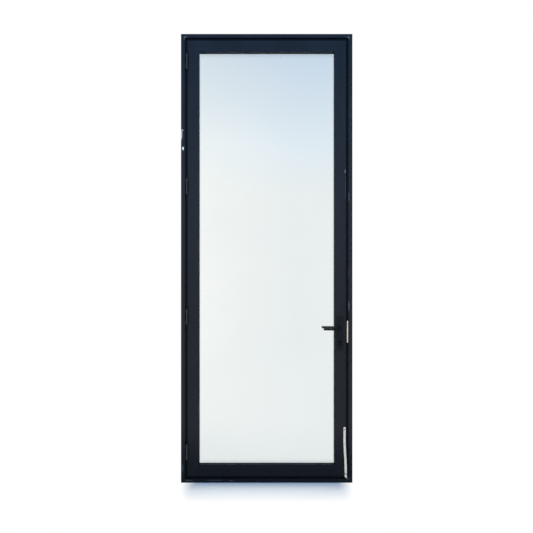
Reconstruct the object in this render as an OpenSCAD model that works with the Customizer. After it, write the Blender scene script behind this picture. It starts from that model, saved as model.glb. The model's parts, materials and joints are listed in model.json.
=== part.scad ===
// Single door with one glazed leaf in a mitred aluminium frame.
// The leaf hangs on four barrel hinges in the left gap and has a lever lock on the right.
// Millimetres, +Z up, the front faces -Y, origin in the middle of the sill's underside.

/* [Overall] */
// Width over the frame
frame_w = 1100; // [1000:10:1200]
// Height over the frame
frame_h = 2880; // [2500:10:3000]
// Depth of the frame and of the closed leaf
frame_d = 76; // [76:1:84]

/* [Frame section] */
// Width of the frame's front face
frame_face = 24; // [23:0.5:26]
// Width of the set-back outer edge that meets the wall
edge_w = 5; // [3:0.5:6]
// How far that outer edge is set back
edge_d = 3; // [2:0.5:4]
// Depth of the rebate floor behind the front face
rebate_d = 25; // [25:0.5:27]
// How far the rear part of the frame reaches in from the outer edge
stop_reach = 56; // [54:0.5:57]
// Wall of the hollow sections
wall = 2; // [1.8:0.1:2.2]
// Drilling for the wall screws
fixing_d = 8; // [7:0.5:9]
// Wall screws behind the front face
fixing_v = 50; // [46:1:54]
// Distance between the two inner wall screws of a jamb
fixing_inner = 800; // [700:10:860]
// Distance between the two outer wall screws of a jamb
fixing_outer = 2400; // [2000:10:2400]
// Distance between the two sill screws
fixing_sill = 600; // [500:10:700]

/* [Leaf section] */
// Gap seen between frame and leaf
side_gap = 20; // [19.5:0.5:21]
// Gap between frame and leaf at the rear
rear_gap = 6; // [5:0.5:7]
// Width of the leaf's front face, bead included
leaf_face = 72; // [72:0.5:76]
// Part of that width taken by the glazing bead
bead_h = 18; // [18:0.5:19]
// Thickness of the leaf's front flange
flange_d = 22; // [21.5:0.1:22.2]
// Wall of the glazing beads
bead_wall = 1.6; // [1.4:0.1:1.8]
// Rail on the leaf that holds the bead
rail_h = 3; // [2:0.5:4]
// How much further out the leaf's rear lip ends than the bead in front
lip_drop = 7; // [0:0.5:7]

/* [Glazing] */
// Thickness of one pane
pane_t = 4; // [4:0.5:5]
// Space between the panes
cavity = 16; // [14:1:16]
// Seal between bead and glass
front_seal_t = 4; // [3:0.5:5]
// Seal between rear lip and glass
rear_seal_t = 3; // [2.5:0.5:4]
// Room between the edge of the glass and the leaf
edge_room = 5; // [4:0.5:6]
// Depth of the sealant round the spacer
sealant_h = 3; // [3:0.5:4]
// Height of the spacer bar
spacer_h = 6; // [6:0.5:7]
// Wall of the spacer bar
spacer_wall = 0.8; // [0.6:0.1:1]
// Length of a setting block
block_len = 100; // [80:5:120]
// Middle of a setting block from the corner of the frame
block_in = 230; // [220:5:260]

/* [Hinges] */
// Middle of the lowest hinge above the sill's underside
hinge_low = 195; // [190:1:230]
// Middle of the highest hinge below the top of the frame
hinge_drop = 174; // [170:1:230]
// How much the two middle hinges sit above even spacing
hinge_raise = 33; // [0:1:40]
// How far the hinge axis lies from the middle of the gap towards the leaf
hinge_off = 2; // [1:0.1:2]
// Hinge axis behind the front face
hinge_v = 6.5; // [6:0.1:7]
// Outside diameter of the barrel
barrel_d = 11; // [10:0.2:11.2]
// Length of a frame knuckle
frame_knuckle = 28; // [26:1:30]
// Length of the leaf knuckle
leaf_knuckle = 38; // [36:1:40]
// Height of an end cap
cap_h = 7; // [5:0.5:8]
// Diameter of the pin
pin_d = 5; // [4.6:0.2:5]
// Thickness of a wing
wing_t = 2; // [1.8:0.1:2]
// Depth of a wing in the gap
wing_d = 19; // [19:0.1:19.5]

/* [Lock] */
// Height of the lever axis above the sill's underside
lever_z = 988; // [960:1:1100]
// Lever axis behind the lock edge of the leaf
backset = 35; // [34:0.5:35]
// Distance from lever axis to cylinder axis
cylinder_drop = 85; // [85:1:94]
// Travel of the latch bolt
latch_throw = 10.5; // [10:0.1:10.5]
// Travel of the deadbolt
deadbolt_throw = 16; // [14:0.5:16]
// Thickness of both bolts
bolt_t = 12; // [11:0.5:12]
// Thickness of the faceplate
faceplate_t = 3; // [2.5:0.5:3]
// Width of the keep's front
keep_w = 7.6; // [7.4:0.1:9]
// Length of the keep
keep_len = 139; // [134:1:146]

/* [Levers] */
// Diameter of the lever bar
lever_d = 14; // [13:0.5:15]
// Reach of the lever from its axis
lever_reach = 109; // [95:1:120]
// Middle of the bar in front of the leaf
lever_out = 41; // [40:1:48]
// Radius of the bend on its middle line
lever_bend = 13; // [12:0.5:14]
// Side of the square spindle
spindle_w = 8; // [7:0.5:8]
// Width of the long plates
plate_w = 32; // [30:1:32]
// Length of the long plates
plate_len = 212; // [210:1:220]
// Thickness of the long plates
plate_t = 8; // [7:0.5:9]

/* [Strip] */
// Foot of the stuck-on strip above the sill's underside
strip_low = 28; // [20:1:60]
// Length of the strip
strip_len = 330; // [250:5:400]
// Width of the strip
strip_w = 14.5; // [14:0.5:22]
// How far the middle of its foot lies outside the leaf's edge
strip_out = 0.4; // [0:0.1:2]
// How far its upper part lies further in than its foot
strip_shift = 6.5; // [4:0.1:10]
// Thickness of the strip
strip_t = 0.8; // [0.6:0.1:1.2]

/* [Hidden] */
$fn = 64;
// Clearances: turning parts, sliding parts, loose fits inside the sections, screw holes
run_fit = 0.05;
slide_fit = 0.3;
loose_fit = 0.2;
hole_fit = 0.1;
leaf_u = frame_face + side_gap;
body_u = stop_reach + rear_gap;
sight_u = leaf_u + leaf_face;
bead_u = sight_u - bead_h;
lip_u = sight_u - lip_drop;
glass_u = bead_u + edge_room;
glass_v = frame_d - wall - rear_seal_t - 2 * pane_t - cavity;
bead_d = glass_v - front_seal_t;
seal_w = 8;
hinge_u = frame_face + side_gap / 2 + hinge_off;
hinge_span = frame_h - hinge_drop - hinge_low;
hinge_z = [
    hinge_low,
    hinge_low + hinge_span / 3 + hinge_raise,
    hinge_low + 2 * hinge_span / 3 + hinge_raise,
    hinge_low + hinge_span
];
flange_gap = 1.2;
knuckles_h = 2 * frame_knuckle + leaf_knuckle + 2 * flange_gap;
wing_v = 2.5;
screw_d = 5;
screw_head_d = 9;
wing_screw_v = wing_v + wing_d - screw_head_d / 2 - 0.5;
wing_screw_z = knuckles_h / 2 - 16;
bush_wall = 1.2;
spindle_u = leaf_u + backset;
cylinder_z = lever_z - cylinder_drop;
lock_v = flange_d / 2;
case_t = 16;
case_wall = 1.5;
case_u = leaf_u + faceplate_t;
case_depth = 48;
case_foot = 33;
case_top = 53;
case_low = cylinder_z - case_foot;
case_high = lever_z + case_top;
lug_h = 25;
lug_u = 8;
lug_screw_d = 4;
cylinder_screw_drop = 18;
latch_z = lever_z + 15;
latch_h = 28;
tail_t = 6;
tail_low = latch_z + 5;
tail_h = 4;
hook_low = latch_z - 3.4;
hook_w = 2;
deadbolt_rise = 34;
deadbolt_z = cylinder_z + deadbolt_rise;
deadbolt_h = 32;
deadbolt_len = 28;
faceplate_low = case_low - 28;
faceplate_high = case_high + 28;
keep_v = 2;
keep_fit = 0.6;
keep_in = 3.5;
keep_u = frame_face + keep_in;
keep_foot = 88.5;
keep_low = lever_z - keep_foot;
keep_screw_in = 7;
keep_screw_d = 3.5;
keep_head_d = 6.4;
keep_screw_z = [keep_low + keep_screw_in, keep_low + keep_len - keep_screw_in];
plate_foot = 134;
plate_low = lever_z - plate_foot;
plate_r = 5;
plate_screw_in = 10;
plate_screw_z = [plate_low + plate_screw_in, plate_low + plate_len - plate_screw_in];
lever_start = plate_t + 0.4;
socket_len = 22;
grub_out = 12;
grub_r = 2.5;
grub_len = 3.5;
follower_r = 11;
journal_r = 8;
arm_r = 18;
arm_w = 5;
euro_r = 8.5;
euro_tail_w = 10;
euro_h = 33;
plug_r = 6.5;
cam_r = 13;
cam_t = 9;
euro_proud = 2.5;
cleat_v = 32;
cleat_t = 28;
cleat_arm = 50;
edge_nick_z = 2270;
edge_nick = [3, 4, 7];
strip_lift = 0.4;
strip_bend = [90, 265];
strip_slant = 10;
strip_steps = 14;

// Puts a piece drawn with x = inward from the outer edge, y = back from the front face
// and z = along the side onto one side of the frame.
module on_hinge_side() {
    translate([-frame_w / 2, -frame_d / 2, 0])
        children();
}

module on_lock_side() {
    translate([frame_w / 2, -frame_d / 2, 0])
        mirror([1, 0, 0])
            children();
}

module on_sill_side() {
    translate([-frame_w / 2, -frame_d / 2, 0])
        mirror([1, 0, -1])
            children();
}

module on_head_side() {
    translate([0, 0, frame_h])
        mirror([0, 0, 1])
            on_sill_side()
                children();
}

// One length of a section, mitred at both ends on the frame's diagonals.
module mitred(len) {
    reach = sight_u + 1;
    intersection() {
        linear_extrude(len)
            children();
        translate([0, frame_d + 1, 0])
            rotate([90, 0, 0])
                linear_extrude(frame_d + 2)
                    polygon([[0, 0], [reach, reach], [reach, len - reach], [0, len]]);
    }
}

// Four mitred lengths of one section, all round.
module all_round() {
    on_hinge_side()
        mitred(frame_h)
            children();
    on_lock_side()
        mitred(frame_h)
            children();
    on_sill_side()
        mitred(frame_w)
            children();
    on_head_side()
        mitred(frame_w)
            children();
}

// A plain rectangle of a section between two inward and two depth values.
module band(u0, u1, v0, v1) {
    translate([u0, v0])
        square([u1 - u0, v1 - v0]);
}

// A block between two corners.
module block(low, high) {
    translate(low)
        cube(high - low);
}

// A round bar along x, y or z from a starting point.
module bar_x(p, r, len) {
    translate(p)
        rotate([0, 90, 0])
            cylinder(r = r, h = len);
}

module bar_y(p, r, len) {
    translate(p)
        rotate([-90, 0, 0])
            cylinder(r = r, h = len);
}

module bar_z(p, r, len) {
    translate(p)
        cylinder(r = r, h = len);
}

// A countersunk screw along +z with its head's flat at z = 0.
module screw(d, head_d, len) {
    cylinder(d1 = head_d, d2 = d, h = (head_d - d) / 2);
    cylinder(d = d, h = len);
}

// The hole that such a screw needs.
module screw_hole(d, head_d, len) {
    translate([0, 0, -1])
        cylinder(d = head_d + 2 * hole_fit, h = 1);
    cylinder(d1 = head_d + 2 * hole_fit, d2 = d + 2 * hole_fit, h = (head_d - d) / 2);
    cylinder(d = d + 2 * hole_fit, h = len);
}

// Frame

module frame_section() {
    difference() {
        polygon([
            [edge_w, 0], [frame_face, 0], [frame_face, rebate_d], [stop_reach, rebate_d],
            [stop_reach, frame_d], [0, frame_d], [0, edge_d], [edge_w, edge_d]
        ]);
        band(wall, frame_face - wall, edge_d + wall, frame_d - wall);
        band(frame_face, stop_reach - wall, rebate_d + wall, frame_d - wall);
    }
}

// Holes for wall screws along one jamb.
module jamb_fixings() {
    for (pitch = [fixing_inner, fixing_outer], end = [-1, 1])
        bar_x([-1, fixing_v, frame_h / 2 + end * pitch / 2], fixing_d / 2, stop_reach + 2);
}

module hinge_jamb() {
    color("#2b3440")
        on_hinge_side()
            difference() {
                mitred(frame_h)
                    frame_section();
                jamb_fixings();
                for (z = hinge_z, end = [-1, 1])
                    bar_x([frame_face - wall - 1, wing_screw_v, z + end * wing_screw_z],
                        screw_d / 2 + hole_fit, wall + 2);
                // nick in the outer edge
                translate([-1, edge_d - 1, edge_nick_z])
                    rotate([0, 0, -20])
                        cube(edge_nick);
            }
}

module lock_jamb() {
    color("#2b3440")
        on_lock_side()
            difference() {
                mitred(frame_h)
                    frame_section();
                jamb_fixings();
                for (z = keep_screw_z)
                    bar_y([keep_u + keep_w / 2, rebate_d - 1, z], keep_screw_d / 2 + hole_fit, wall + 2);
            }
}

module head() {
    color("#2b3440")
        on_head_side()
            mitred(frame_w)
                frame_section();
}

module sill() {
    color("#2b3440")
        on_sill_side()
            difference() {
                mitred(frame_w)
                    frame_section();
                for (end = [-1, 1])
                    bar_x([-1, fixing_v, frame_w / 2 + end * fixing_sill / 2],
                        fixing_d / 2, stop_reach + 2);
            }
}

// An L of two arms lying in the chambers that meet at one corner.
module cleat(u0, u1, arm) {
    block([u0, cleat_v, u0], [u1, cleat_v + cleat_t, u1 + arm]);
    block([u0, cleat_v, u0], [u1 + arm, cleat_v + cleat_t, u1]);
}

module four_cleats(u0, u1, arm) {
    for (side = [0, 1], end = [0, 1])
        mirror([side, 0, 0])
            translate([0, 0, end * frame_h])
                mirror([0, 0, end])
                    on_hinge_side()
                        cleat(u0 + loose_fit, u1 - loose_fit, arm);
}

module frame_corner_cleats() {
    color("#b9bcc0")
        four_cleats(wall, frame_face - wall, cleat_arm);
}

module frame_gasket() {
    color("#151618")
        all_round()
            polygon([
                [leaf_u + 2, rebate_d], [leaf_u + 2, flange_d + 1.4], [leaf_u + 4, flange_d + slide_fit],
                [leaf_u + 7, flange_d + slide_fit], [leaf_u + 9, flange_d + 1.4], [leaf_u + 9, rebate_d]
            ]);
}

// Hinges

module at_hinge(i) {
    translate([-frame_w / 2 + hinge_u, -frame_d / 2 + hinge_v, hinge_z[i]])
        children();
}

// Distance from the hinge axis to the frame (side -1) or to the leaf (side 1).
function to_side(side) = side_gap / 2 - side * hinge_off;

module knuckle(low, high, side) {
    bar_z([0, 0, low], barrel_d / 2, high - low);
    block([side > 0 ? 0 : -to_side(side), 0, low], [side > 0 ? to_side(side) : 0, barrel_d / 2, high]);
}

module wing(side) {
    x = side * to_side(side);
    difference() {
        union() {
            children();
            block([min(x, x - side * wing_t), wing_v - hinge_v, -knuckles_h / 2],
                [max(x, x - side * wing_t), wing_v + wing_d - hinge_v, knuckles_h / 2]);
        }
        for (end = [-1, 1])
            translate([x - side * wing_t, wing_screw_v - hinge_v, end * wing_screw_z])
                rotate([0, side * 90, 0])
                    screw_hole(screw_d, screw_head_d, wall + 3);
    }
}

module hinge_frame_wing(i) {
    color("#353f49")
        at_hinge(i)
            difference() {
                wing(-1) {
                    knuckle(-knuckles_h / 2, -knuckles_h / 2 + frame_knuckle, -1);
                    knuckle(knuckles_h / 2 - frame_knuckle, knuckles_h / 2, -1);
                }
                bar_z([0, 0, -knuckles_h / 2 - 1], pin_d / 2 + run_fit, knuckles_h + 2);
            }
}

module hinge_leaf_wing(i) {
    color("#353f49")
        at_hinge(i)
            difference() {
                wing(1)
                    knuckle(-leaf_knuckle / 2, leaf_knuckle / 2, 1);
                bar_z([0, 0, -knuckles_h / 2], pin_d / 2 + bush_wall + run_fit, knuckles_h);
            }
}

module hinge_pin(i) {
    color("#9a9c9e")
        at_hinge(i)
            bar_z([0, 0, -knuckles_h / 2], pin_d / 2, knuckles_h);
}

module hinge_caps() {
    color("#17191b")
        for (i = [0:3], end = [0, 1])
            at_hinge(i)
                mirror([0, 0, end])
                    translate([0, 0, knuckles_h / 2]) {
                        cylinder(d = barrel_d, h = cap_h - 2);
                        translate([0, 0, cap_h - 2])
                            cylinder(d1 = barrel_d, d2 = barrel_d - 4, h = 2);
                    }
}

// Flanged nylon bushes between pin and leaf knuckle.
module hinge_bushes() {
    color("#d9d8d2")
        for (i = [0:3], end = [0, 1])
            at_hinge(i)
                mirror([0, 0, end])
                    difference() {
                        union() {
                            bar_z([0, 0, 1], pin_d / 2 + bush_wall, leaf_knuckle / 2 - 1);
                            bar_z([0, 0, leaf_knuckle / 2 + 0.1], barrel_d / 2 - 0.5, 1);
                            bar_z([0, 0, leaf_knuckle / 2 - 1], pin_d / 2 + bush_wall, 1.5);
                        }
                        bar_z([0, 0, 0], pin_d / 2 + run_fit, leaf_knuckle);
                    }
}

module wing_screws(side) {
    color("#4a4f55")
        for (i = [0:3], end = [-1, 1])
            at_hinge(i)
                translate([side * (to_side(side) - wing_t), wing_screw_v - hinge_v, end * wing_screw_z])
                    rotate([0, side * 90, 0])
                        screw(screw_d, screw_head_d, 12);
}

module hinge_frame_screws() {
    wing_screws(-1);
}

module hinge_leaf_screws() {
    wing_screws(1);
}

// Leaf

module leaf_section() {
    difference() {
        polygon([
            [leaf_u, 0], [bead_u, 0], [bead_u, bead_d / 2 - 1], [bead_u + rail_h, bead_d / 2 - 1],
            [bead_u + rail_h, bead_d / 2 + 1], [bead_u, bead_d / 2 + 1], [bead_u, frame_d - wall],
            [lip_u, frame_d - wall], [lip_u, frame_d], [body_u, frame_d], [body_u, flange_d],
            [leaf_u, flange_d]
        ]);
        band(leaf_u + wall, bead_u - wall, wall, flange_d - wall);
        band(body_u + wall, bead_u - wall, flange_d, frame_d - wall);
    }
}

module hinge_stile() {
    color("#2f3944")
        on_hinge_side()
            difference() {
                mitred(frame_h)
                    leaf_section();
                for (z = hinge_z, end = [-1, 1])
                    bar_x([leaf_u - 1, wing_screw_v, z + end * wing_screw_z],
                        screw_d / 2 + hole_fit, wall + 2);
            }
}

// The outline of a profile cylinder seen from the front, grown by a clearance.
module cylinder_outline(grow) {
    circle(r = euro_r + grow);
    tail = euro_h - euro_r - euro_tail_w / 2;
    translate([-euro_tail_w / 2 - grow, -tail])
        square([euro_tail_w + 2 * grow, tail]);
    translate([0, -tail])
        circle(r = euro_tail_w / 2 + grow);
}

// Stands that outline on the cylinder's axis and runs it from one depth to another.
module cylinder_run(v0, v1, grow) {
    translate([spindle_u, v1, cylinder_z])
        rotate([90, 0, 0])
            linear_extrude(v1 - v0)
                cylinder_outline(grow);
}

module lock_stile() {
    color("#2f3944")
        on_lock_side()
            difference() {
                mitred(frame_h)
                    leaf_section();
                block([leaf_u - 1, lock_v - case_t / 2 - loose_fit, faceplate_low - loose_fit],
                    [leaf_u + wall + 1, lock_v + case_t / 2 + loose_fit, faceplate_high + loose_fit]);
                bar_y([spindle_u, -1, lever_z], spindle_w * 0.8, frame_d + 2);
                cylinder_run(-1, frame_d + 1, 0.5);
                for (z = plate_screw_z)
                    bar_y([spindle_u, -1, z], screw_d / 2 + 0.3, frame_d + 2);
            }
}

module top_rail() {
    color("#2f3944")
        on_head_side()
            mitred(frame_w)
                leaf_section();
}

module bottom_rail() {
    color("#2f3944")
        on_sill_side()
            mitred(frame_w)
                leaf_section();
}

module leaf_corner_cleats() {
    color("#b9bcc0")
        four_cleats(body_u + wall, bead_u - wall, cleat_arm);
}

// A bead open at its base, where it grips the rail on the leaf.
module bead_section() {
    grip = 1 + loose_fit;
    difference() {
        band(bead_u, sight_u, 0, bead_d);
        band(bead_u + bead_wall, sight_u - bead_wall, bead_wall, bead_d - bead_wall);
        band(bead_u - 1, bead_u + bead_wall + 1, bead_d / 2 - grip, bead_d / 2 + grip);
    }
}

module bead_hinge_side() {
    color("#2f3944")
        on_hinge_side()
            mitred(frame_h)
                bead_section();
}

module bead_lock_side() {
    color("#2f3944")
        on_lock_side()
            mitred(frame_h)
                bead_section();
}

module bead_top() {
    color("#2f3944")
        on_head_side()
            mitred(frame_w)
                bead_section();
}

module bead_bottom() {
    color("#2f3944")
        on_sill_side()
            mitred(frame_w)
                bead_section();
}

// Glazing

module front_glazing_seal() {
    color("#151618")
        all_round()
            band(sight_u - seal_w, sight_u, bead_d, glass_v);
}

module rear_glazing_seal() {
    color("#151618")
        all_round()
            band(glass_u, lip_u, frame_d - wall - rear_seal_t, frame_d - wall);
}

module pane(v) {
    color("#dfe9ee", 0.35)
        block([-frame_w / 2 + glass_u, -frame_d / 2 + v, glass_u],
            [frame_w / 2 - glass_u, -frame_d / 2 + v + pane_t, frame_h - glass_u]);
}

module front_pane() {
    pane(glass_v);
}

module rear_pane() {
    pane(glass_v + pane_t + cavity);
}

module spacer_bar() {
    u0 = glass_u + sealant_h;
    v0 = glass_v + pane_t;
    color("#a9adb1")
        all_round()
            difference() {
                band(u0, u0 + spacer_h, v0, v0 + cavity);
                band(u0 + spacer_wall, u0 + spacer_h - spacer_wall, v0 + spacer_wall,
                    v0 + cavity - spacer_wall);
            }
}

module edge_sealant() {
    color("#1b1c1e")
        all_round()
            band(glass_u, glass_u + sealant_h, glass_v + pane_t, glass_v + pane_t + cavity);
}

// Two blocks on each side between the glass and the leaf.
module block_pair(len) {
    for (z = [block_in, len - block_in])
        block([bead_u, glass_v, z - block_len / 2],
            [glass_u, glass_v + 2 * pane_t + cavity, z + block_len / 2]);
}

module setting_blocks() {
    color("#4d6b57") {
        on_hinge_side()
            block_pair(frame_h);
        on_lock_side()
            block_pair(frame_h);
        on_sill_side()
            block_pair(frame_w);
        on_head_side()
            block_pair(frame_w);
    }
}

// Lock

module lock_case() {
    v0 = lock_v - case_t / 2;
    v1 = lock_v + case_t / 2;
    u1 = case_u + case_depth;
    color("#8e9296")
        on_lock_side()
            difference() {
                union() {
                    block([case_u, v0, case_low], [u1, v1, case_high]);
                    block([case_u, v0, case_low - lug_h], [case_u + lug_u, v1, case_high + lug_h]);
                }
                block([case_u + case_wall, v0 + case_wall, case_low + case_wall],
                    [u1 - case_wall, v1 - case_wall, case_high - case_wall]);
                bolt_window(case_u - 1, case_wall + 2);
                // way out for the latch tail and its hook
                block([u1 - 2 * case_wall, lock_v - tail_t / 2 - 1, hook_low - 1],
                    [u1 + 1, lock_v + tail_t / 2 + 1, tail_low + tail_h + 1]);
                // ways for the plate screws
                for (z = plate_screw_z)
                    bar_y([spindle_u, v0 - 1, z], screw_d / 2 + hole_fit, case_t + 2);
                bar_y([spindle_u, v0 - 1, lever_z], journal_r + run_fit, case_t + 2);
                cylinder_run(v0 - 1, v1 + 1, 0.3);
                for (z = [case_low - lug_h / 2, case_high + lug_h / 2])
                    bar_x([case_u - 1, lock_v, z], lug_screw_d / 2 + hole_fit, lug_u + 2);
                bar_x([case_u - 1, lock_v, cylinder_z - cylinder_screw_drop], screw_d / 2 + hole_fit, 4);
            }
}

// Windows for both bolts, from one depth inward.
module bolt_window(u0, len) {
    t = bolt_t / 2 + slide_fit;
    block([u0, lock_v - t, latch_z - latch_h / 2 - slide_fit],
        [u0 + len, lock_v + t, latch_z + latch_h / 2 + slide_fit]);
    block([u0, lock_v - t, deadbolt_z - deadbolt_h / 2 - slide_fit],
        [u0 + len, lock_v + t, deadbolt_z + deadbolt_h / 2 + slide_fit]);
}

module lock_faceplate() {
    color("#b4b6b8")
        on_lock_side()
            difference() {
                block([leaf_u, lock_v - case_t / 2, faceplate_low],
                    [leaf_u + faceplate_t, lock_v + case_t / 2, faceplate_high]);
                bolt_window(leaf_u - 1, faceplate_t + 2);
                for (z = [case_low - lug_h / 2, case_high + lug_h / 2])
                    translate([leaf_u, lock_v, z])
                        rotate([0, 90, 0])
                            screw_hole(lug_screw_d, 2 * lug_screw_d, faceplate_t + 1);
                translate([leaf_u, lock_v, cylinder_z - cylinder_screw_drop])
                    rotate([0, 90, 0])
                        screw_hole(screw_d, screw_head_d, faceplate_t + 1);
            }
}

module faceplate_screws() {
    color("#9a9c9e")
        on_lock_side()
            for (z = [case_low - lug_h / 2, case_high + lug_h / 2])
                translate([leaf_u, lock_v, z])
                    rotate([0, 90, 0])
                        screw(lug_screw_d, 2 * lug_screw_d, faceplate_t + lug_u);
}

// A plate outline with round corners, x from its middle and y up from its foot.
module plate_outline() {
    translate([-plate_w / 2 + plate_r, 0])
        square([plate_w - 2 * plate_r, plate_len]);
    translate([-plate_w / 2, plate_r])
        square([plate_w, plate_len - 2 * plate_r]);
    for (x = [-1, 1], y = [plate_r, plate_len - plate_r])
        translate([x * (plate_w / 2 - plate_r), y])
            circle(r = plate_r);
}

module long_plate(v0) {
    color("#1d2126")
        on_lock_side()
            difference() {
                translate([spindle_u, v0 + plate_t, plate_low])
                    rotate([90, 0, 0])
                        linear_extrude(plate_t)
                            plate_outline();
                bar_y([spindle_u, v0 - 1, lever_z], spindle_w * 0.8, plate_t + 2);
                cylinder_run(v0 - 1, v0 + plate_t + 1, 0.3);
                for (z = plate_screw_z)
                    translate([spindle_u, -plate_t, z])
                        rotate([-90, 0, 0])
                            screw_hole(screw_d, screw_head_d, frame_d + 2 * plate_t - 1);
            }
}

module front_plate() {
    long_plate(-plate_t);
}

module rear_plate() {
    long_plate(frame_d);
}

module plate_screws() {
    color("#1d2126")
        on_lock_side()
            for (z = plate_screw_z)
                translate([spindle_u, -plate_t, z])
                    rotate([-90, 0, 0])
                        screw(screw_d, screw_head_d, frame_d + 2 * plate_t - 2);
}

module cylinder_body() {
    front = -plate_t - euro_proud;
    back = frame_d + plate_t + euro_proud;
    color("#a8a294")
        on_lock_side()
            difference() {
                cylinder_run(front, back, 0);
                bar_y([spindle_u, front - 1, cylinder_z], plug_r + run_fit, back - front + 2);
                // room for the cam to turn
                bar_y([spindle_u, lock_v - cam_t / 2 - 0.5, cylinder_z], cam_r + 0.8, cam_t + 1);
                bar_x([spindle_u - euro_tail_w, lock_v, cylinder_z - cylinder_screw_drop],
                    screw_d / 2 + run_fit, 2 * euro_tail_w);
            }
}

module cylinder_screw() {
    color("#9a9c9e")
        on_lock_side()
            translate([leaf_u, lock_v, cylinder_z - cylinder_screw_drop])
                rotate([0, 90, 0])
                    screw(screw_d, screw_head_d, backset + 4);
}

module cylinder_plug() {
    front = -plate_t - euro_proud;
    back = frame_d + plate_t + euro_proud;
    color("#c2b993")
        on_lock_side()
            difference() {
                union() {
                    bar_y([spindle_u, front - 0.5, cylinder_z], plug_r, back - front + 1);
                    // cam
                    block([spindle_u - 4, lock_v - cam_t / 2, cylinder_z],
                        [spindle_u + 4, lock_v + cam_t / 2, cylinder_z + cam_r - 1.5]);
                }
                // key slot at both ends
                for (v = [front - 1, back - 5])
                    block([spindle_u - 1.2, v, cylinder_z - 4.5], [spindle_u + 1.2, v + 6, cylinder_z + 4.5]);
            }
}

module latch_keep() {
    color("#cdbea8")
        on_lock_side()
            difference() {
                block([keep_u, keep_v, keep_low], [keep_u + keep_w, rebate_d, keep_low + keep_len]);
                // windows for the bolts
                block([keep_u - 1, lock_v - bolt_t / 2 - keep_fit, latch_z - latch_h / 2 - 1],
                    [keep_u + keep_w + 1, lock_v + bolt_t / 2 + keep_fit, latch_z + latch_h / 2 + 1]);
                block([keep_u - 1, lock_v - bolt_t / 2 - keep_fit, deadbolt_z - deadbolt_h / 2 - 1],
                    [keep_u + keep_w + 1, lock_v + bolt_t / 2 + keep_fit, deadbolt_z + deadbolt_h / 2 + 1]);
                for (z = keep_screw_z)
                    translate([keep_u + keep_w / 2, keep_v, z])
                        rotate([-90, 0, 0])
                            screw_hole(keep_screw_d, keep_head_d, rebate_d);
            }
}

module keep_screws() {
    color("#b8b2a4")
        on_lock_side()
            for (z = keep_screw_z)
                translate([keep_u + keep_w / 2, keep_v, z])
                    rotate([-90, 0, 0])
                        screw(keep_screw_d, keep_head_d, rebate_d + 6);
}

// Head with its slope towards the rear, and a tail whose hook the follower's arm pulls.
module latch_bolt() {
    tip = leaf_u - latch_throw;
    head_end = spindle_u - follower_r - latch_throw - 1.5;
    hook = spindle_u + arm_w / 2 + 1.1;
    v0 = lock_v - bolt_t / 2;
    v1 = lock_v + bolt_t / 2;
    color("#b9bbbd")
        on_lock_side() {
            translate([0, 0, latch_z - latch_h / 2])
                linear_extrude(latch_h)
                    polygon([[tip, v0], [head_end, v0], [head_end, v1], [leaf_u - 1.5, v1], [tip, v0 + 3]]);
            block([head_end - 1, lock_v - tail_t / 2, tail_low],
                [hook + hook_w, lock_v + tail_t / 2, tail_low + tail_h]);
            block([hook, lock_v - tail_t / 2, hook_low], [hook + hook_w, lock_v + tail_t / 2, tail_low + 1]);
        }
}

module deadbolt() {
    u0 = leaf_u + 0.3;
    lug_u0 = case_u + case_wall + deadbolt_throw + 0.6;
    low = deadbolt_z - deadbolt_h / 2;
    color("#b9bbbd")
        on_lock_side() {
            block([u0, lock_v - bolt_t / 2, low], [u0 + deadbolt_len, lock_v + bolt_t / 2, low + deadbolt_h]);
            // lug that the cam pushes
            block([lug_u0, lock_v - tail_t / 2, low - 3], [lug_u0 + 5, lock_v + tail_t / 2, low + 1]);
        }
}

module lock_follower() {
    color("#8a8c8e")
        on_lock_side()
            difference() {
                union() {
                    bar_y([spindle_u, lock_v - case_t / 2 + 0.2, lever_z], journal_r, case_t - 0.4);
                    bar_y([spindle_u, lock_v - 5, lever_z], follower_r, 10);
                    block([spindle_u - arm_w / 2, lock_v - 3, lever_z],
                        [spindle_u + arm_w / 2, lock_v + 3, lever_z + arm_r]);
                }
                block([spindle_u - spindle_w / 2 - hole_fit, lock_v - case_t, lever_z - spindle_w / 2 - hole_fit],
                    [spindle_u + spindle_w / 2 + hole_fit, lock_v + case_t, lever_z + spindle_w / 2 + hole_fit]);
            }
}

// Levers

// Drawn with x along the bar, y out from the leaf and the spindle's axis at the origin.
module lever() {
    difference() {
        union() {
            bar_y([0, lever_start, 0], lever_d / 2 + 3, 5);
            bar_y([0, lever_start, 0], lever_d / 2, lever_out - lever_bend - lever_start);
            translate([lever_bend, lever_out - lever_bend, 0])
                rotate([0, 0, 90])
                    rotate_extrude(angle = 90)
                        translate([lever_bend, 0])
                            circle(r = lever_d / 2);
            bar_x([lever_bend, lever_out, 0], lever_d / 2, lever_reach - lever_bend - 1);
            translate([lever_reach - 1, lever_out, 0])
                rotate([0, 90, 0])
                    cylinder(d1 = lever_d, d2 = lever_d - 2, h = 1);
        }
        block([-spindle_w / 2 - hole_fit, lever_start - 1, -spindle_w / 2 - hole_fit],
            [spindle_w / 2 + hole_fit, lever_start + socket_len, spindle_w / 2 + hole_fit]);
        bar_z([0, lever_start + grub_out, -lever_d], grub_r + run_fit, lever_d);
    }
}

module at_front_lever() {
    translate([frame_w / 2 - spindle_u, -frame_d / 2, lever_z])
        rotate([0, 0, 180])
            children();
}

module at_rear_lever() {
    translate([frame_w / 2 - spindle_u, frame_d / 2, lever_z])
        mirror([1, 0, 0])
            children();
}

module front_lever() {
    color("#181b1f")
        at_front_lever()
            lever();
}

module rear_lever() {
    color("#181b1f")
        at_rear_lever()
            lever();
}

module grub_screw() {
    bar_z([0, lever_start + grub_out, -spindle_w / 2 - hole_fit - grub_len], grub_r, grub_len);
}

module lever_grub_screws() {
    color("#6d7073") {
        at_front_lever()
            grub_screw();
        at_rear_lever()
            grub_screw();
    }
}

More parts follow.
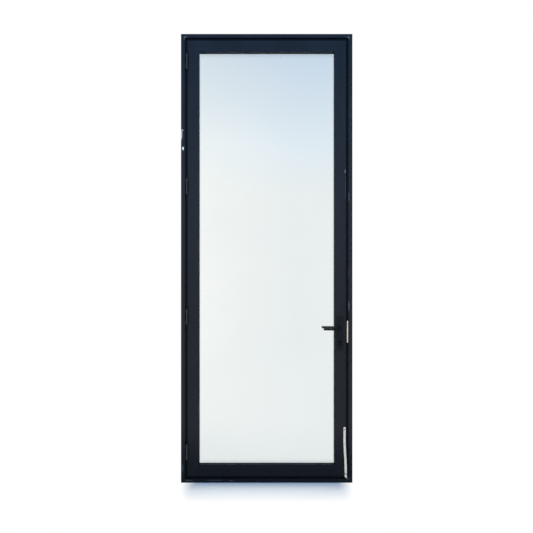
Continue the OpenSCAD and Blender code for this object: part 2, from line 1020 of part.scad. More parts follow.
module spindle() {
    color("#9a9c9e")
        on_lock_side()
            block([spindle_u - spindle_w / 2, 2 - lever_start - socket_len, lever_z - spindle_w / 2],
                [spindle_u + spindle_w / 2, frame_d + lever_start + socket_len - 2, lever_z + spindle_w / 2]);
}

// White strip stuck along the lower lock-side edge of the leaf, in one shallow S-bend.
// Its middle line, inward from the frame's outer edge, at a height above the sill's underside.
function strip_middle(z) =
    let (t = max(0, min(1, (z - strip_bend[0]) / (strip_bend[1] - strip_bend[0]))))
    leaf_u - strip_out + strip_shift * t * t * (3 - 2 * t);

module strip_outline() {
    heights = [for (i = [0:strip_steps]) strip_low + i * strip_len / strip_steps];
    inner = [for (z = heights) [strip_middle(z) + strip_w / 2, z + (z == strip_low ? strip_slant : 0)]];
    outer = [for (z = heights) [strip_middle(z) - strip_w / 2, z]];
    polygon(concat(outer, [for (i = [strip_steps:-1:0]) inner[i]]));
}

module white_strip() {
    color("#ced1ce")
        on_lock_side() {
            translate([0, -strip_lift, 0])
                rotate([90, 0, 0])
                    linear_extrude(strip_t)
                        strip_outline();
            // the part that is glued to the leaf
            rotate([90, 0, 0])
                linear_extrude(strip_lift + strip_t / 2)
                    intersection() {
                        strip_outline();
                        translate([leaf_u + 0.5, leaf_u + 0.5])
                            square([leaf_face, strip_low + strip_len]);
                    }
        }
}

hinge_jamb();
lock_jamb();
head();
sill();
frame_corner_cleats();
frame_gasket();
hinge_frame_wing(0);  // hinge_frame_wing_1
hinge_frame_wing(1);  // hinge_frame_wing_2
hinge_frame_wing(2);  // hinge_frame_wing_3
hinge_frame_wing(3);  // hinge_frame_wing_4
hinge_pin(0);  // hinge_pin_1
hinge_pin(1);  // hinge_pin_2
hinge_pin(2);  // hinge_pin_3
hinge_pin(3);  // hinge_pin_4
hinge_caps();
hinge_frame_screws();
latch_keep();
keep_screws();
hinge_stile();
lock_stile();
top_rail();
bottom_rail();
leaf_corner_cleats();
bead_hinge_side();
bead_lock_side();
bead_top();
bead_bottom();
front_glazing_seal();
rear_glazing_seal();
front_pane();
rear_pane();
spacer_bar();
edge_sealant();
setting_blocks();
hinge_leaf_wing(0);  // hinge_leaf_wing_1
hinge_leaf_wing(1);  // hinge_leaf_wing_2
hinge_leaf_wing(2);  // hinge_leaf_wing_3
hinge_leaf_wing(3);  // hinge_leaf_wing_4
hinge_bushes();
hinge_leaf_screws();
lock_case();
lock_faceplate();
faceplate_screws();
front_plate();
rear_plate();
plate_screws();
cylinder_body();
cylinder_screw();
white_strip();
front_lever();
rear_lever();
spindle();
lock_follower();
lever_grub_screws();
latch_bolt();
deadbolt();
cylinder_plug();
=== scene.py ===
"""Finishes, studio and camera for the glazed aluminium door. Metres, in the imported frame."""
import json
import math

import bpy
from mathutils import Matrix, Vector


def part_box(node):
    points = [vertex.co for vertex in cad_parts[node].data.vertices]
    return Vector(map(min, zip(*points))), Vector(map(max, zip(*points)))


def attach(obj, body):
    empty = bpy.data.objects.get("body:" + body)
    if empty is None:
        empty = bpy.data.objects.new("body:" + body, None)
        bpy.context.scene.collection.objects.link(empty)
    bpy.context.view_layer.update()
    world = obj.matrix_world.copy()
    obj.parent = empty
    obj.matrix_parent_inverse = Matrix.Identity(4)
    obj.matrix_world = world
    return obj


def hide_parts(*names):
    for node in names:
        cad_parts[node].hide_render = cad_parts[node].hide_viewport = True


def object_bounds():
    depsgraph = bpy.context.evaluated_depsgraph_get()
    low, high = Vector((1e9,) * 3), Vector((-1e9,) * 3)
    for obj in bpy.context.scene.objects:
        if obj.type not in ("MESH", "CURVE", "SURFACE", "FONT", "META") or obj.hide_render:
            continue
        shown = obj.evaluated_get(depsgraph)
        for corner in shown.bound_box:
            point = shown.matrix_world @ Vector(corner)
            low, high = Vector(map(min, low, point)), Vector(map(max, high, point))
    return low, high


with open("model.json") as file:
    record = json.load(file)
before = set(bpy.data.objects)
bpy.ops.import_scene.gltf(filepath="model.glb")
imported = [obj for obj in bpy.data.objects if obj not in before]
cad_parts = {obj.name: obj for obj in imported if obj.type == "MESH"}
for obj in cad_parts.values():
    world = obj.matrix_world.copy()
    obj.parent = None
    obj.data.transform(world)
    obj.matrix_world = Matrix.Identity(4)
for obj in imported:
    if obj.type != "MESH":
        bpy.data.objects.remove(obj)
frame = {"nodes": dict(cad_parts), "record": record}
cad_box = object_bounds()

MM = 0.001
HALF_W = cad_box[1].x
TOP_Z = cad_box[1].z
FRONT_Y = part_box("hinge_jamb")[0].y
SLOT_OF_NODE = {part["node"]: part["material_slot"] for part in frame["record"]["subparts"]}


# Colours and nodes

def linear(hex_colour):
    """An sRGB hex colour as a linear RGBA value."""
    parts = [int(hex_colour[i:i + 2], 16) / 255 for i in (1, 3, 5)]
    return [p / 12.92 if p <= 0.04045 else ((p + 0.055) / 1.055) ** 2.4 for p in parts] + [1.0]


def live(sockets, name=None):
    """The first socket that the node's settings leave in use, of that name if one is given."""
    return next(socket for socket in sockets if socket.enabled and name in (None, socket.name))


def add(tree, kind, links=None, **settings):
    """Adds one shader node. links gives each input a number, a colour, an output or a whole node."""
    node = tree.nodes.new("ShaderNode" + kind)
    for setting, value in settings.items():
        setattr(node, setting, value)
    for key, source in (links or {}).items():
        socket = node.inputs[key] if isinstance(key, int) else live(node.inputs, key)
        if isinstance(source, bpy.types.Node):
            source = live(source.outputs)
        if isinstance(source, bpy.types.NodeSocket):
            tree.links.new(source, socket)
        else:
            socket.default_value = source
    return node


def new_material(name):
    """An empty node material, its tree, and the place on the piece in frame metres."""
    material = bpy.data.materials.new(name)
    material.use_nodes = True
    tree = material.node_tree
    tree.nodes.clear()
    return material, tree, add(tree, "TexCoord").outputs["Object"]


# Patterns

def grain(tree, place, size_mm, stretch=(1, 1, 1), detail=2.0):
    """Soft noise from 0 to 1 whose blotches are about size_mm wide, drawn out by stretch."""
    scale = [1 / (size_mm * MM * s) for s in stretch]
    spread = add(tree, "VectorMath", {0: place, 1: scale}, operation="MULTIPLY")
    return add(tree, "TexNoise", {"Vector": spread, "Scale": 1.0, "Detail": detail})


def arris(tree, radius_mm):
    """1 along the sharp edges of a piece and 0 on its flats."""
    rounded = add(tree, "Bevel", {"Radius": radius_mm * MM}, samples=6)
    flat = add(tree, "NewGeometry").outputs["Normal"]
    # the cosine of the turn between the two: wear begins at 6 degrees and is full at 31
    turn = add(tree, "VectorMath", {0: rounded, 1: flat}, operation="DOT_PRODUCT")
    return add(tree, "MapRange", {"Value": turn, "From Min": 0.995, "From Max": 0.86})


def spot(tree, place, middle_mm, half_mm, ragged):
    """An oval mark, 1 inside, round a point given in millimetres. ragged is how far its edge wanders."""
    middle = [m * MM for m in middle_mm]
    shrink = [1 / (h * MM) for h in half_mm]
    away = add(tree, "VectorMath", {0: place, 1: middle}, operation="SUBTRACT")
    away = add(tree, "VectorMath", {0: away, 1: shrink}, operation="MULTIPLY")
    away = add(tree, "VectorMath", {0: away}, operation="LENGTH")
    wander = add(tree, "MapRange", {
        "Value": grain(tree, place, size_mm=5, detail=3.0), "From Min": 0.3, "From Max": 0.7,
        "To Min": -ragged, "To Max": ragged})
    edge = add(tree, "Math", {0: away, 1: wander}, operation="ADD")
    return add(tree, "MapRange", {"Value": edge, "From Min": 1.0, "From Max": 0.75})


def mitre_line(tree, place):
    """1 on the hairline where two lengths meet on a corner's diagonal."""
    axes = add(tree, "SeparateXYZ", {0: place}).outputs
    side = add(tree, "Math", {0: axes["X"]}, operation="ABSOLUTE")
    from_side = add(tree, "Math", {0: HALF_W, 1: side}, operation="SUBTRACT")
    from_top = add(tree, "Math", {0: TOP_Z, 1: axes["Z"]}, operation="SUBTRACT")
    from_end = add(tree, "Math", {0: from_top, 1: axes["Z"]}, operation="MINIMUM")
    off = add(tree, "Math", {0: from_side, 1: from_end}, operation="SUBTRACT")
    off = add(tree, "Math", {0: off}, operation="ABSOLUTE")
    return add(tree, "MapRange", {"Value": off, "From Min": 0.6 * MM, "From Max": 0.2 * MM})


# Materials

MITRE_DIRT = "#0b0d10"


def powder_coat(name, colour, dusty, worn, roughness=0.62, painted_reflection=(), marks_and_painted_light=(), ragged=0.35):
    """Baked powder coat on aluminium: satin, a fine orange peel, dust in soft streaks, pale arrises, and
    painted reflection, highlights and shade where given.

    The band and mark lists are like those given for the frame and leaf below: colour bands painted by
    height as reflection, and chips, scuffs, painted highlights and painted shade. ragged is how far marks
    wander.
    """
    material, tree, place = new_material(name)
    streaks = grain(tree, place, size_mm=60, stretch=(1, 1, 9), detail=4.0)
    clouds = grain(tree, place, size_mm=420)
    dust = add(tree, "Math", {0: streaks, 1: clouds}, operation="MULTIPLY")
    dusted = add(tree, "MapRange", {"Value": dust, "From Min": 0.14, "From Max": 0.42})
    rubbed = add(tree, "MapRange", {
        "Value": grain(tree, place, size_mm=35, detail=4.0), "From Min": 0.42, "From Max": 0.66,
        "To Min": 0.1, "To Max": 0.8})
    wear = add(tree, "Math", {0: arris(tree, radius_mm=1.6), 1: rubbed}, operation="MULTIPLY")
    height = add(tree, "SeparateXYZ", {0: place}).outputs["Z"]

    # what is laid on the coat, from the bottom up: how much it covers, and its colour; dust, colour bands
    # painted by height as reflection, arris wear, the mitre line, then marks, painted highlights and
    # painted shade
    layers = [(dusted, dusty)]
    # painted reflection: each band colours the coat between two heights
    for band_colour, band_starts_z, band_full_z, share in painted_reflection:
        film_or_band = {"Value": height, "From Min": band_starts_z, "From Max": band_full_z, "To Max": share}
        layers.append((add(tree, "MapRange", film_or_band), band_colour))
    layers += [(wear, worn), (mitre_line(tree, place), MITRE_DIRT)]
    for middle_mm, half_mm, mark_colour in marks_and_painted_light:
        layers.append((spot(tree, place, middle_mm, half_mm, ragged), mark_colour))
    base = linear(colour)
    for cover, layer_colour in layers:
        base = add(tree, "Mix", {"Factor": cover, "A": base, "B": linear(layer_colour)}, data_type="RGBA")

    gloss = add(tree, "MapRange", {
        "Value": dust, "From Min": 0.1, "From Max": 0.45,
        "To Min": roughness - 0.06, "To Max": roughness + 0.08})
    # the peel is about 2 mm from crest to crest
    peel = add(tree, "Bump", {
        "Height": grain(tree, place, size_mm=2), "Strength": 0.25, "Distance": 0.03 * MM})
    skin = add(tree, "BsdfPrincipled", {
        "Base Color": base, "Roughness": gloss, "IOR": 1.5, "Specular IOR Level": 0.15, "Normal": peel})
    add(tree, "OutputMaterial", {"Surface": skin})
    return material


def satin_metal(name, colour, shade, roughness, metallic=1.0):
    """Bare metal with a fine drawn or brushed grain: soft streaked shine, a little tarnish."""
    material, tree, place = new_material(name)
    tarnish = add(tree, "MapRange", {
        "Value": grain(tree, place, size_mm=18, detail=4.0), "From Min": 0.35, "From Max": 0.7})
    base = add(tree, "Mix", {"Factor": tarnish, "A": linear(colour), "B": linear(shade)}, data_type="RGBA")
    # real scratches are about 0.1 mm wide, drawn at 0.6 mm so that they show
    lines = grain(tree, place, size_mm=0.6, stretch=(1, 1, 14), detail=3.0)
    gloss = add(tree, "MapRange", {
        "Value": lines, "From Min": 0.3, "From Max": 0.7,
        "To Min": roughness - 0.08, "To Max": roughness + 0.1})
    scratch = add(tree, "Bump", {"Height": lines, "Strength": 0.15, "Distance": 0.02 * MM})
    skin = add(tree, "BsdfPrincipled", {
        "Base Color": base, "Metallic": metallic, "Roughness": gloss, "Normal": scratch})
    add(tree, "OutputMaterial", {"Surface": skin})
    return material


def moulded(name, colour, shade, roughness, pit_mm):
    """Moulded or extruded polymer: matte, with a fine pitted skin and slight blotches."""
    material, tree, place = new_material(name)
    blotch = grain(tree, place, size_mm=25, detail=3.0)
    shaded = add(tree, "MapRange", {"Value": blotch, "From Min": 0.3, "From Max": 0.7})
    base = add(tree, "Mix", {"Factor": shaded, "A": linear(colour), "B": linear(shade)}, data_type="RGBA")
    gloss = add(tree, "MapRange", {
        "Value": blotch, "From Min": 0.3, "From Max": 0.7,
        "To Min": roughness - 0.05, "To Max": roughness + 0.08})
    # real pits are finer than pit_mm, and are drawn coarser so that they show
    pits = add(tree, "Bump", {
        "Height": grain(tree, place, pit_mm, detail=3.0), "Strength": 0.3, "Distance": 0.03 * MM})
    skin = add(tree, "BsdfPrincipled", {
        "Base Color": base, "Roughness": gloss, "IOR": 1.5, "Specular IOR Level": 0.2, "Normal": pits})
    add(tree, "OutputMaterial", {"Surface": skin})
    return material


def float_glass(name):
    """Clear float glass: mirror-smooth, faint green-blue body, a thin film of dust low down."""
    material, tree, place = new_material(name)
    height = add(tree, "SeparateXYZ", {0: place}).outputs["Z"]
    splash = add(tree, "MapRange", {"Value": height, "From Min": 0.9, "From Max": 0.1})
    specks = grain(tree, place, size_mm=90, detail=5.0)
    film_or_band = add(tree, "Math", {0: specks, 1: splash}, operation="MULTIPLY")
    haze = add(tree, "MapRange", {"Value": film_or_band, "From Min": 0.25, "From Max": 0.8, "To Max": 0.05})
    body = add(tree, "Mix", {
        "Factor": grain(tree, place, size_mm=600), "A": linear("#f6f9f8"), "B": linear("#fafbfa")},
        data_type="RGBA")
    clear = add(tree, "BsdfPrincipled", {
        "Base Color": body, "Roughness": haze, "IOR": 1.52, "Transmission Weight": 1.0})
    # light for shadows goes straight through, as it does through a clear pane
    through = add(tree, "BsdfTransparent", {"Color": linear("#eef5f5")})
    for_shadow = add(tree, "LightPath").outputs["Is Shadow Ray"]
    add(tree, "OutputMaterial", {"Surface": add(tree, "MixShader", {0: for_shadow, 1: clear, 2: through})})
    return material


STRIP_LOW, STRIP_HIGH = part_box("white_strip")
STRIP_W = 14.5 * MM
# Each crease of the white strip: height, how far it stands out and half width in millimetres, slant across
STRIP_FOLDS = [(344, 0.5, 3, 0.3), (331, 0.3, 4, -0.5), (252, 0.35, 9, 0.2), (176, 0.3, 12, -0.3),
               (92, 0.35, 6, 0.4), (61, 0.8, 3, -0.4), (53, -0.5, 3, 0.2), (41, 0.7, 4, 0.5)]
# A crease no wider than this, from its middle, is sharp enough to get a painted dark line of shade
SHARP_FOLD_MM = 3


def strip_film(name):
    """White vinyl film: matte, slightly grey with dirt, and painted shade along its sharper creases."""
    material, tree, place = new_material(name)
    dirt = add(tree, "MapRange", {
        "Value": grain(tree, place, size_mm=14, stretch=(1, 1, 2), detail=5.0),
        "From Min": 0.45, "From Max": 0.75})
    base = add(tree, "Mix", {"Factor": dirt, "A": linear("#dcd6ca"), "B": linear("#c3bfb2")},
               data_type="RGBA")
    for fold_z, _, half, slant in STRIP_FOLDS:
        if half > SHARP_FOLD_MM:
            continue
        # how far a point is from the crease, which leans by its slant across the strip
        crease = slant * (STRIP_HIGH.x - STRIP_W / 2) - fold_z * MM
        off = add(tree, "VectorMath", {0: place, 1: [slant, 0, -1]}, operation="DOT_PRODUCT")
        off = add(tree, "Math", {0: off, 1: crease}, operation="SUBTRACT")
        off = add(tree, "Math", {0: off}, operation="ABSOLUTE")
        # painted shade: the film darkens along each sharp crease
        crease_shade = add(tree, "MapRange", {
            "Value": off, "From Min": 3.2 * MM, "From Max": 0.8 * MM, "To Max": 0.85})
        base = add(tree, "Mix", {"Factor": crease_shade, "A": base, "B": linear("#45423d")}, data_type="RGBA")
    crinkle = add(tree, "Bump", {
        "Height": grain(tree, place, size_mm=3, detail=3.0), "Strength": 0.3, "Distance": 0.1 * MM})
    skin = add(tree, "BsdfPrincipled", {
        "Base Color": base, "Roughness": 0.5, "IOR": 1.52, "Normal": crinkle})
    add(tree, "OutputMaterial", {"Surface": skin})
    return material


# Painted reflection on the coat of frame and leaf, by height: colour, the heights where it begins and is
# full, its cover.
# The blue coat shows bare at the head as a painted sky reflection. A grey band is painted below it and a
# darker, less blue one lower down, and the foot is painted darkest as a reflection of dark ground.
PAINTED_DARK_FOOT = ("#080f18", 0.36, 0.12, 1.0)
COAT_PAINTED_REFLECTION = {
    "frame_coat": [("#292d34", 2.75, 1.75, 0.85), ("#25252a", 1.75, 1.05, 0.85), PAINTED_DARK_FOOT],
    "leaf_coat": [("#252a32", 2.75, 1.75, 0.85), ("#202126", 1.75, 1.05, 0.85), PAINTED_DARK_FOOT],
}

# The frame's edges and the hinges' places in millimetres, for the marks on the coat
LEFT_MM, RIGHT_MM = -HALF_W / MM, HALF_W / MM
FRONT_MM, TOP_MM = FRONT_Y / MM, TOP_Z / MM
HINGE_PINS = [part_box("hinge_pin_%d" % number) for number in (1, 2, 3, 4)]
PIN_MM = (HINGE_PINS[0][0] + HINGE_PINS[0][1]) / (2 * MM)
HINGE_Z_MM = [(low.z + high.z) / (2 * MM) for low, high in HINGE_PINS]

# Chips and scuffs on the coat, and the painted highlights and painted shade noted with them: middle and
# half size in millimetres, and the colour that shows.
# Heights are above the floor.
COAT_MARKS_AND_PAINTED_LIGHT = {
    "hinge_jamb": [
        ((LEFT_MM + 2, FRONT_MM + 2, 2232), (7.5, 8, 36), "#c3ccd8"),
        ((LEFT_MM + 9, FRONT_MM, 2262), (9, 4, 5), "#b4c2d0"),
        ((LEFT_MM + 13, FRONT_MM, 2146), (6.5, 4, 13), "#e4f0f7"),
        ((LEFT_MM + 10, FRONT_MM, 95), (8, 5, 34), "#28323c"),
        # painted highlight at the frame's inner top corner
        ((LEFT_MM + 22, FRONT_MM, TOP_MM - 27), (5, 5, 10), "#56606a")],
    # painted shade: a dark line on the leaf's edge beside each hinge barrel
    "hinge_stile": [
        ((PIN_MM.x + 11, FRONT_MM, hinge_z), (5, 4, 60), "#05080c") for hinge_z in HINGE_Z_MM],
    # painted highlights at both inner top corners
    "head": [
        ((LEFT_MM + 26, FRONT_MM, TOP_MM - 21), (13, 5, 5), "#56606a"),
        ((RIGHT_MM - 26, FRONT_MM, TOP_MM - 21), (13, 5, 5), "#56606a")],
    "sill": [
        ((LEFT_MM + 50, FRONT_MM, 15), (26, 5, 4), "#343d47"),
        ((LEFT_MM + 220, FRONT_MM, 16), (60, 5, 3), "#2d363f"),
        ((LEFT_MM + 325, FRONT_MM, 14), (20, 5, 3), "#343d47"),
        # painted highlight, a glint at the sill's right end
        ((RIGHT_MM - 31, FRONT_MM, 21), (8, 5, 4), "#2f3942")],
    "lock_jamb": [
        # painted highlight at the frame's inner top corner
        ((RIGHT_MM - 22, FRONT_MM, TOP_MM - 27), (5, 5, 10), "#56606a"),
        # painted highlight, a glint at the jamb's foot
        ((RIGHT_MM - 23, FRONT_MM, 29), (4, 5, 9), "#37414b"),
        # painted highlights: pale streaks along the jamb's inner arris
        ((RIGHT_MM - 24.5, FRONT_MM, 2358), (3.5, 5, 7), "#43586a"),
        ((RIGHT_MM - 24, FRONT_MM, 1840), (3, 5, 34), "#66707c"),
        ((RIGHT_MM - 24, FRONT_MM, 1350), (2.6, 5, 46), "#474d56"),
        ((RIGHT_MM - 24.5, FRONT_MM, 1135), (4, 5, 32), "#787d84")],
    "lock_stile": [
        ((RIGHT_MM - 47, FRONT_MM, 1999), (3.5, 4, 11), "#6d7a88"),
        ((RIGHT_MM - 45, FRONT_MM, 1890), (2.0, 4, 80), "#454f5a")],
}

# Painted highlights: the barrels are paler than the wings, all the way up their common axis, with a painted
# blue reflection on the top one
BARREL_HIGHLIGHT_X_MM = PIN_MM.x + 1.5
ENDLESS_MM = 1e6
BARREL_HIGHLIGHTS = [((BARREL_HIGHLIGHT_X_MM, PIN_MM.y, 0), (6.8, 8, ENDLESS_MM), "#3b4045"),
              ((BARREL_HIGHLIGHT_X_MM, PIN_MM.y, max(HINGE_Z_MM)), (6.8, 8, 80), "#2e4150")]

SLOT_MATERIALS = {
    # nearly black and rather glossy, paler along the barrels by painted highlights
    "hinge_coat": powder_coat("powder_coated_hinge", "#07090c", "#0b0d10", "#2c323a", roughness=0.34,
                              marks_and_painted_light=BARREL_HIGHLIGHTS, ragged=0.05),
    # black levers that hands keep smooth
    "handle_coat": powder_coat("black_powder_coat", "#04070c", "#080c12", "#1a2028", roughness=0.38),
    # dull silver as it left the mill, for cleats and spacer bar
    "bare_aluminium": satin_metal("mill_aluminium", "#c3c6c9", "#a9adb1", roughness=0.36),
    # soft grey-black rubber that shows no shine
    "epdm": moulded("epdm_rubber", "#22252a", "#2b2e33", roughness=0.62, pit_mm=0.6),
    # dead black band round the panes
    "sealant": moulded("butyl_sealant", "#161719", "#1e1f21", roughness=0.7, pit_mm=1.0),
    "float_glass": float_glass("float_glass"),
    # grey plated pins, screws and lock pieces
    "steel": satin_metal("zinc_plated_steel", "#8d9093", "#6f7275", roughness=0.4),
    # screw heads darkened to match the plates
    "black_steel": satin_metal("blackened_steel", "#24272a", "#1a1c1f", roughness=0.4, metallic=0.9),
    # pale cream plating, dulled so far that little metal shows
    "keep_zinc": satin_metal("passivated_zinc", "#ecdcc4", "#dfcbaf", roughness=0.45, metallic=0.2),
    # a cylinder plated dark, with a low sheen
    "brass": satin_metal("black_nickelled_brass", "#1b1c1e", "#151618", roughness=0.38),
    # black end caps with a slight sheen
    "black_nylon": moulded("black_nylon", "#141618", "#1c1e21", roughness=0.5, pit_mm=0.5),
    # dark bushes, so that no pale ring shows between the barrels
    "white_nylon": moulded("smoked_nylon", "#26292c", "#1e2124", roughness=0.5, pit_mm=0.5),
    # dull green blocks under the glass
    "block_plastic": moulded("green_block_plastic", "#4d6b57", "#456050", roughness=0.5, pit_mm=0.8),
    "strip_film": strip_film("white_vinyl_film"),
}

# Pieces whose finish is not their slot's: matt plates, the latch in a darker steel as painted shade, screws
# plated with their keep
PLATE_COAT = powder_coat("matt_black_powder_coat", "#0f1319", "#151920", "#272d35", roughness=0.5)
OWN_FINISH = {
    "front_plate": PLATE_COAT,
    "rear_plate": PLATE_COAT,
    # painted shade: a darker copy of the plated steel for the latch in the shaded gap
    "latch_bolt": satin_metal("steel_painted_shade", "#2a2d30", "#212427", roughness=0.45),
    "keep_screws": SLOT_MATERIALS["keep_zinc"],
}

for node_name, node_object in frame["nodes"].items():
    slot = SLOT_OF_NODE[node_name]
    if slot in COAT_PAINTED_REFLECTION:
        # dark blue under its dust, left bare at the head as painted sky reflection, with a coat of its own
        # for each length because the marks differ
        finish = powder_coat("powder_coat_" + node_name, "#132130", "#1c2a3a", "#4d5864",
                             painted_reflection=COAT_PAINTED_REFLECTION[slot], marks_and_painted_light=COAT_MARKS_AND_PAINTED_LIGHT.get(node_name, ()))
    else:
        finish = OWN_FINISH.get(node_name, SLOT_MATERIALS.get(slot))
    node_object.data.materials.clear()
    node_object.data.materials.append(finish)


# White strip

STRIP_THICK = 0.3 * MM
# It shifts to the left between these heights, by this much
STRIP_BEND = (90 * MM, 265 * MM)
STRIP_SHIFT = 6.5 * MM
# It also bows to the left by this much at this height, and less over this reach up and down
STRIP_BOW, STRIP_BOW_Z, STRIP_BOW_REACH = 1.2 * MM, 285 * MM, 70 * MM
# Its foot turns to the right by this much, and less over this reach up
STRIP_TURN, STRIP_TURN_REACH = 1.2 * MM, 60 * MM
# Its foot is cut on a slant and the corners of its head are rounded off
STRIP_SLANT = 10 * MM
STRIP_ROUND = 2 * MM
# It stands off the leaf by this much, as much again at its edges, and never less than this
STRIP_LIFT, STRIP_LEAST_LIFT = 0.5 * MM, 0.2 * MM
STRIP_ROWS, STRIP_COLUMNS = 170, 12


def strip_point(along, across):
    """A point of the film, along its length from 0 to 1 and across its width from -1 to 1."""
    foot = STRIP_LOW.z + STRIP_SLANT * (1 - across) / 2
    head = STRIP_HIGH.z - STRIP_ROUND * abs(across) ** 4
    z = foot + (head - foot) * along
    shifted = min(max((z - STRIP_BEND[0]) / (STRIP_BEND[1] - STRIP_BEND[0]), 0), 1)
    middle = STRIP_HIGH.x - STRIP_W / 2 - STRIP_SHIFT * shifted * shifted * (3 - 2 * shifted)
    middle += STRIP_TURN * max(0, 1 - (z - STRIP_LOW.z) / STRIP_TURN_REACH)
    middle -= STRIP_BOW * max(0, 1 - abs(z - STRIP_BOW_Z) / STRIP_BOW_REACH)
    lift = STRIP_LIFT + STRIP_LIFT * abs(across) ** 3
    for fold_z, stand, half, slant in STRIP_FOLDS:
        off = abs(z / MM - fold_z - slant * across * STRIP_W / 2 / MM) / half
        lift += stand * MM * max(0, 1 - off)
    return middle + across * STRIP_W / 2, FRONT_Y - max(lift, STRIP_LEAST_LIFT), z


def creased_strip():
    """Thin film stuck over the leaf's edge: a shallow S-bend, a slanted foot, creases, lifted edges."""
    verts = [strip_point(i / STRIP_ROWS, 2 * j / STRIP_COLUMNS - 1)
             for i in range(STRIP_ROWS + 1) for j in range(STRIP_COLUMNS + 1)]
    row = STRIP_COLUMNS + 1
    faces = [(i * row + j, i * row + j + 1, (i + 1) * row + j + 1, (i + 1) * row + j)
             for i in range(STRIP_ROWS) for j in range(STRIP_COLUMNS)]
    mesh = bpy.data.meshes.new("creased_strip")
    mesh.from_pydata(verts, [], faces)
    mesh.polygons.foreach_set("use_smooth", [True] * len(faces))
    mesh.materials.append(SLOT_MATERIALS["strip_film"])
    strip = bpy.data.objects.new("creased_strip", mesh)
    bpy.context.scene.collection.objects.link(strip)
    thicken = strip.modifiers.new("film_or_band", "SOLIDIFY")
    thicken.thickness = STRIP_THICK
    thicken.offset = 1.0
    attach(strip, "leaf")
    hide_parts("white_strip")


creased_strip()


# Rounded arrises on the solid pieces

ARRIS_MM = {"frame_coat": 0.7, "leaf_coat": 0.7, "hinge_coat": 0.5, "handle_coat": 0.6, "keep_zinc": 0.6,
            "steel": 0.25, "black_steel": 0.25, "brass": 0.25, "black_nylon": 0.3}
for node_name, node_object in frame["nodes"].items():
    width_mm = ARRIS_MM.get(SLOT_OF_NODE[node_name])
    if width_mm is None:
        continue
    weld = node_object.modifiers.new("weld", "WELD")
    weld.merge_threshold = 0.005 * MM
    # flat faces are joined first, or long thin triangles spoil the rounding
    flat_faces = node_object.modifiers.new("flat_faces", "DECIMATE")
    flat_faces.decimate_type = "DISSOLVE"
    flat_faces.angle_limit = math.radians(0.5)
    bevel = node_object.modifiers.new("arris", "BEVEL")
    bevel.width = width_mm * MM
    bevel.segments = 2
    bevel.limit_method = "ANGLE"
    bevel.angle_limit = math.radians(40)
    bevel.harden_normals = True


# Studio

PAPER_HALF = 9.0
# The shadow lies round a base that ends this far inside the frame's sides, and fades faster to the sides
SHADOW_INSET = 0.1
SHADOW_SQUEEZE = [4, 1, 1]
# How far from the base the paper is painted blue as shade, where the shadow fades to plain paper, and where
# that pales
PAINTED_SHADE_RUN = 0.05
SHADOW_RUN = (0.06, 0.37)
PAPER_RUN = (0.5, 1.8)
# The backdrop shown in glass and metal, left and right: at the horizon, higher up, and near the top
BACKDROP = [("#ffffff", "#f5f7f9"), ("#fafdff", "#ebf4fe"), ("#d7e3f1", "#cbdbf0")]
# The sines of the angles above the horizon where the first colour ends, and the next two are reached
BACKDROP_RISE = (0.1, 0.17, 0.32)
# The sine of the angle to the side where the left colour ends and the right one is reached, and the same
# across the paper's far edge, where it meets the backdrop
BACKDROP_SIDE = (-0.1, 0.04)
PAPER_SIDE = (-1.36, 0.54)
WHITE = "#ffffff"


def shows_background(tree):
    """1 for rays that see the background, from the eye or by glass and metal, and 1 for the eye's alone."""
    rays = add(tree, "LightPath").outputs
    by_eye = rays["Is Camera Ray"]
    seen = add(tree, "Math", {0: by_eye, 1: rays["Is Transmission Ray"]}, operation="MAXIMUM")
    seen = add(tree, "Math", {0: seen, 1: rays["Is Glossy Ray"]}, operation="MAXIMUM")
    return seen, by_eye


def studio_paper(name):
    """Pale matte paper that keeps the shadow by the sill, with painted blue shade right at it, and runs out
    to plain white.
    """
    material, tree, place = new_material(name)
    seen, by_eye = shows_background(tree)
    half_base = [HALF_W - SHADOW_INSET, -FRONT_Y, 0]
    away = add(tree, "VectorMath", {0: place}, operation="ABSOLUTE")
    away = add(tree, "VectorMath", {0: away, 1: half_base}, operation="SUBTRACT")
    away = add(tree, "VectorMath", {0: away, 1: [0, 0, 0]}, operation="MAXIMUM")
    away = add(tree, "VectorMath", {0: away, 1: SHADOW_SQUEEZE}, operation="MULTIPLY")
    away = add(tree, "VectorMath", {0: away}, operation="LENGTH")

    tone = add(tree, "Mix", {
        "Factor": grain(tree, place, size_mm=700), "A": linear("#d2dbe5"), "B": linear("#d5dee8")},
        data_type="RGBA")
    # painted shade: the paper is bluer right by the sill
    blue_shade = add(tree, "MapRange", {"Value": away, "From Min": PAINTED_SHADE_RUN, "From Max": 0.0})
    tone = add(tree, "Mix", {"Factor": blue_shade, "A": tone, "B": linear("#a9c8ec")}, data_type="RGBA")
    matte = add(tree, "BsdfDiffuse", {"Color": tone})

    side = add(tree, "SeparateXYZ", {0: place}).outputs["X"]
    from_left = add(tree, "MapRange", {
        "Value": side, "From Min": PAPER_SIDE[0], "From Max": PAPER_SIDE[1]})
    left, right = BACKDROP[0]
    plain = add(tree, "Mix", {"Factor": from_left, "A": linear(left), "B": linear(right)}, data_type="RGBA")
    pale = add(tree, "MapRange", {"Value": away, "From Min": PAPER_RUN[0], "From Max": PAPER_RUN[1]})
    shown = add(tree, "Mix", {"Factor": pale, "A": linear("#f2f4f6"), "B": plain}, data_type="RGBA")
    shown = add(tree, "Mix", {"Factor": by_eye, "A": shown, "B": linear(WHITE)}, data_type="RGBA")
    far = add(tree, "Emission", {"Color": shown, "Strength": 1.0})

    faded = add(tree, "MapRange", {"Value": away, "From Min": SHADOW_RUN[0], "From Max": SHADOW_RUN[1]})
    run_out = add(tree, "Math", {0: seen, 1: faded}, operation="MULTIPLY")
    add(tree, "OutputMaterial", {"Surface": add(tree, "MixShader", {0: run_out, 1: matte, 2: far})})
    return material


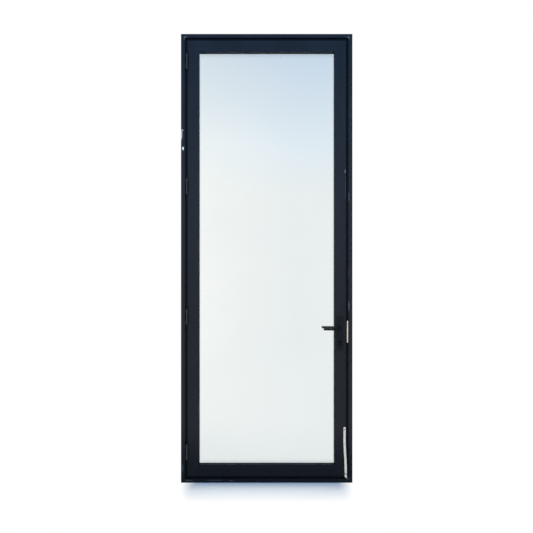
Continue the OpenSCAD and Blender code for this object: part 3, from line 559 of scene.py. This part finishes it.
def studio_floor():
    """A square sheet of paper under the sill."""
    mesh = bpy.data.meshes.new("studio_floor")
    corners = [(-PAPER_HALF, -PAPER_HALF, 0), (PAPER_HALF, -PAPER_HALF, 0),
               (PAPER_HALF, PAPER_HALF, 0), (-PAPER_HALF, PAPER_HALF, 0)]
    mesh.from_pydata(corners, [], [(0, 1, 2, 3)])
    mesh.materials.append(studio_paper("matte_studio_paper"))
    floor = bpy.data.objects.new("studio_floor", mesh)
    bpy.context.scene.collection.objects.link(floor)


def studio_world():
    """White round the object, a pale blue-to-white fall in and behind the glass, soft plain light."""
    world = bpy.data.worlds.new("soft_studio")
    bpy.context.scene.world = world
    world.use_nodes = True
    tree = world.node_tree
    tree.nodes.clear()
    axes = add(tree, "SeparateXYZ", {0: add(tree, "TexCoord").outputs["Generated"]}).outputs
    from_left = add(tree, "MapRange", {
        "Value": axes["X"], "From Min": BACKDROP_SIDE[0], "From Max": BACKDROP_SIDE[1]})
    low, middle, top = [
        add(tree, "Mix", {"Factor": from_left, "A": linear(left), "B": linear(right)}, data_type="RGBA")
        for left, right in BACKDROP]
    fall = low
    for begins, ends, colour in zip(BACKDROP_RISE, BACKDROP_RISE[1:], (middle, top)):
        rise = add(tree, "MapRange", {"Value": axes["Z"], "From Min": begins, "From Max": ends})
        fall = add(tree, "Mix", {"Factor": rise, "A": fall, "B": colour}, data_type="RGBA")
    seen, by_eye = shows_background(tree)
    shown = add(tree, "Mix", {"Factor": by_eye, "A": fall, "B": linear(WHITE)}, data_type="RGBA")
    overhead = add(tree, "MapRange", {"Value": axes["Z"], "From Min": 0.0, "From Max": 0.6})
    light = add(tree, "Mix", {"Factor": overhead, "A": linear("#aab4c2"), "B": linear("#9db6d6")},
                data_type="RGBA")
    sky = add(tree, "Mix", {"Factor": seen, "A": light, "B": shown}, data_type="RGBA")
    add(tree, "OutputWorld", {"Surface": add(tree, "Background", {"Color": sky, "Strength": 1.0})})


def soft_sun(name, source, power):
    """A broad warm sun that shines from a point towards the sill's middle, and shows in no glass."""
    data = bpy.data.lights.new(name, "SUN")
    data.energy = power
    data.color = linear("#fff3e2")[:3]
    data.angle = math.radians(50)
    data.specular_factor = 0.2
    sun = bpy.data.objects.new(name, data)
    sun.location = source
    sun.rotation_euler = (-Vector(source)).to_track_quat("-Z", "Y").to_euler()
    sun.visible_glossy = False
    sun.visible_transmission = False
    bpy.context.scene.collection.objects.link(sun)


studio_floor()
studio_world()
soft_sun("back_light", source=(0.4, 3.0, 3.4), power=2.0)
soft_sun("left_light", source=(-3.0, -2.2, 2.4), power=1.05)
soft_sun("right_light", source=(3.0, -2.2, 2.4), power=1.05)


# Camera, square to the front face

CAMERA_HEIGHT = 1.3876
CAMERA_SIDE = -0.0013
CAMERA_DISTANCE = 4.5
# what the lens shows across at the frame's front face
VIEW_WIDTH = 3.418
SENSOR_MM = 36.0
camera_data = bpy.data.cameras.new("straight_on")
camera_data.sensor_width = SENSOR_MM
camera_data.lens = SENSOR_MM * CAMERA_DISTANCE / VIEW_WIDTH
camera = bpy.data.objects.new("straight_on", camera_data)
camera.location = (CAMERA_SIDE, FRONT_Y - CAMERA_DISTANCE, CAMERA_HEIGHT)
camera.rotation_euler = (math.radians(90), 0, 0)
bpy.context.scene.collection.objects.link(camera)
bpy.context.scene.camera = camera
bpy.context.scene.view_settings.view_transform = "Standard"
